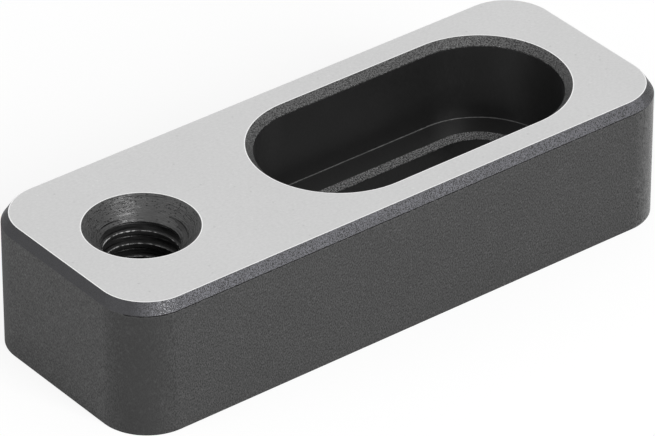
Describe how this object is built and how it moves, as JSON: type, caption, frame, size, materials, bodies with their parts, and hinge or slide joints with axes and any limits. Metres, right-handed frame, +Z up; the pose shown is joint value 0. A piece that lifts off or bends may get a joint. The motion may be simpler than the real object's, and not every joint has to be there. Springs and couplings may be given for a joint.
{
  "type": "workpiece stop",
  "caption": "Flat steel stop block, ground on top, with a counterbored slot for a cap screw and a countersunk tapped hole for a stop screw.",
  "frame": {"origin": "centre of the bottom face's outline, on the surface that the block lies on", "axes": "+Y along the block from the tapped-hole end to the slotted end, +Z up out of the ground top face, +X across the block"},
  "size_m": [0.017, 0.0454, 0.01],
  "materials": {
    "blackened_steel": "black oxide all over, then the top and bottom faces ground bright"
  },
  "bodies": {
    "root": {"stop_block": "blackened_steel"}
  },
  "joints": []
}
